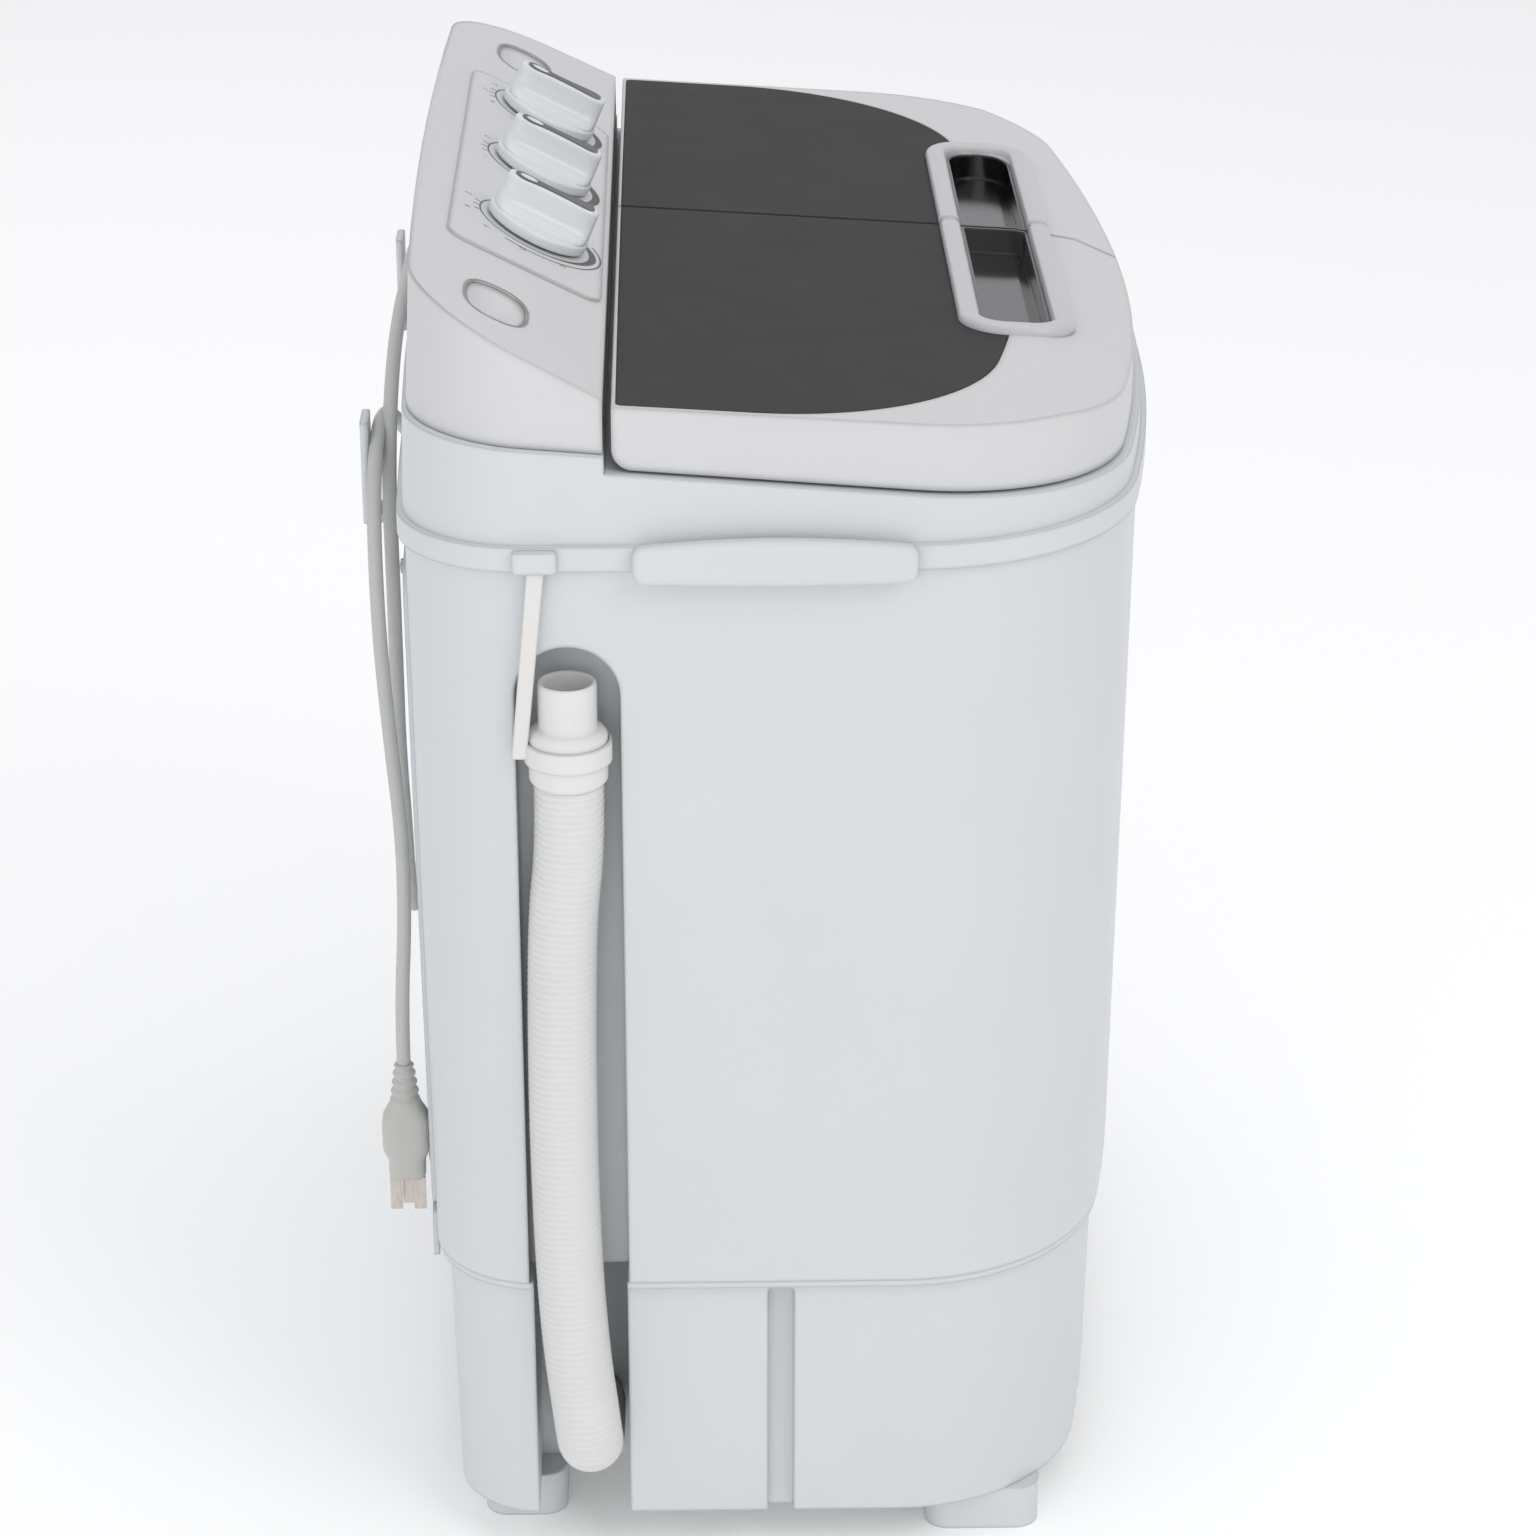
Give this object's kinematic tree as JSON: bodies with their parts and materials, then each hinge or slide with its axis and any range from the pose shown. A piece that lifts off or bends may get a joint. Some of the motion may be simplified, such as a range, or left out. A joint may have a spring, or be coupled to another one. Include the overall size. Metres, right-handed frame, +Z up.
{
  "type": "top load washing machine",
  "caption": "Compact twin-tub top load washing machine with two hinged lids, a sloping control panel, a drain hose and a power cord.",
  "frame": {"origin": "on the floor, under the middle of the machine's bounding box, cord and hose apart", "axes": "+Z up, -Y towards the front of the machine, +X to the right seen from the front"},
  "size_m": [0.6134, 0.3885, 0.6674],
  "materials": {
    "shell_plastic": "satin",
    "lid_plastic": "satin",
    "window_plastic": "satin",
    "gloss_black": "satin",
    "knob_plastic": "satin",
    "tub_plastic": "satin",
    "steel": "satin",
    "motor_paint": "satin",
    "timer_plastic": "satin",
    "belt_rubber": "satin",
    "foot_rubber": "satin",
    "pulley_metal": "satin",
    "hose_plastic": "satin",
    "strap_plastic": "satin",
    "cord_pvc": "satin",
    "pin_metal": "satin"
  },
  "bodies": {
    "cabinet": {"base_frame": "shell_plastic", "brake_bracket": "steel", "cabinet_shell": "shell_plastic", "carry_handle_left": "shell_plastic", "carry_handle_right": "shell_plastic", "control_housing": "lid_plastic", "control_plate": "lid_plastic", "cord_gland": "cord_pvc", "cord_hooks": "shell_plastic", "drain_hose": "hose_plastic", "drain_outlet": "hose_plastic", "drain_valve": "timer_plastic", "drive_belt": "belt_rubber", "feet": "foot_rubber", "hose_cuff": "hose_plastic", "hose_strap": "strap_plastic", "lid_hinge_pins": "steel", "plug_pins": "pin_metal", "power_cord": "cord_pvc", "power_plug": "cord_pvc", "pulsator_bearing": "pulley_metal", "rear_cover": "shell_plastic", "rear_cover_screws": "steel", "spin_motor": "motor_paint", "spin_motor_mounts": "belt_rubber", "spin_seal": "belt_rubber", "spin_timer_case": "timer_plastic", "spin_tub": "tub_plastic", "strap_bracket": "shell_plastic", "top_frame": "shell_plastic", "wash_drive_plate": "steel", "wash_motor": "motor_paint", "wash_selector_switch": "timer_plastic", "wash_timer_case": "timer_plastic", "wash_tub": "tub_plastic", "water_inlet_left": "lid_plastic", "water_inlet_right": "lid_plastic"},
    "wash_lid": {"wash_lid_frame": "lid_plastic", "wash_lid_window": "window_plastic", "wash_lid_grip": "knob_plastic", "wash_lid_finger_well": "gloss_black"},
    "spin_lid": {"spin_lid_frame": "lid_plastic", "spin_lid_window": "window_plastic", "spin_lid_grip": "knob_plastic", "spin_lid_finger_well": "gloss_black"},
    "wash_timer_dial": {"wash_timer_knob": "knob_plastic", "wash_timer_spindle": "steel"},
    "wash_selector_dial": {"wash_selector_knob": "knob_plastic", "wash_selector_spindle": "steel"},
    "spin_timer_dial": {"spin_timer_knob": "knob_plastic", "spin_timer_spindle": "steel"},
    "pulsator_group": {"pulsator": "tub_plastic", "pulsator_shaft": "steel", "pulsator_pulley": "pulley_metal"},
    "wash_rotor": {"wash_motor_shaft": "steel", "wash_motor_pulley": "pulley_metal"},
    "spin_group": {"spin_basket": "tub_plastic", "spin_shaft": "steel", "brake_drum": "pulley_metal"},
    "brake_arm": {"brake_lever": "steel"}
  },
  "joints": [
    {"name": "wash_lid_hinge", "type": "hinge", "parent": "cabinet", "child": "wash_lid", "pos_m": [0, 0.06325, 0.606], "axis": [-1, 0, 0], "range_deg": [0, 100]},
    {"name": "spin_lid_hinge", "type": "hinge", "parent": "cabinet", "child": "spin_lid", "pos_m": [0, 0.06325, 0.606], "axis": [-1, 0, 0], "range_deg": [0, 100]},
    {"name": "wash_timer_turn", "type": "hinge", "parent": "cabinet", "child": "wash_timer_dial", "pos_m": [-0.087, 0.10684, 0.64308], "axis": [0, 0.4543, -0.8908], "range_deg": [0, 300]},
    {"name": "wash_selector_turn", "type": "hinge", "parent": "cabinet", "child": "wash_selector_dial", "pos_m": [0.017, 0.10684, 0.64308], "axis": [0, 0.4543, -0.8908], "range_deg": [0, 90]},
    {"name": "spin_timer_turn", "type": "hinge", "parent": "cabinet", "child": "spin_timer_dial", "pos_m": [0.121, 0.10684, 0.64308], "axis": [0, 0.4543, -0.8908], "range_deg": [0, 300]},
    {"name": "pulsator_spin", "type": "hinge", "parent": "cabinet", "child": "pulsator_group", "pos_m": [-0.123, -0.05175, 0.219], "axis": [0, 0, 1], "continuous": true},
    {"name": "wash_motor_spin", "type": "hinge", "parent": "cabinet", "child": "wash_rotor", "pos_m": [0.008, -0.05175, 0.116], "axis": [0, 0, 1], "continuous": true},
    {"name": "basket_spin", "type": "hinge", "parent": "cabinet", "child": "spin_group", "pos_m": [0.157, -0.05175, 0.286], "axis": [0, 0, 1], "continuous": true},
    {"name": "brake_release", "type": "hinge", "parent": "cabinet", "child": "brake_arm", "pos_m": [0.1085, -0.00775, 0.16], "axis": [0, 0, 1], "range_deg": [0, 3]}
  ],
  "couplings": [
    {"joint": "wash_motor_spin", "follows": "pulsator_spin", "ratio": 3.3645},
    {"joint": "brake_release", "follows": "spin_lid_hinge", "ratio": 0.02}
  ]
}
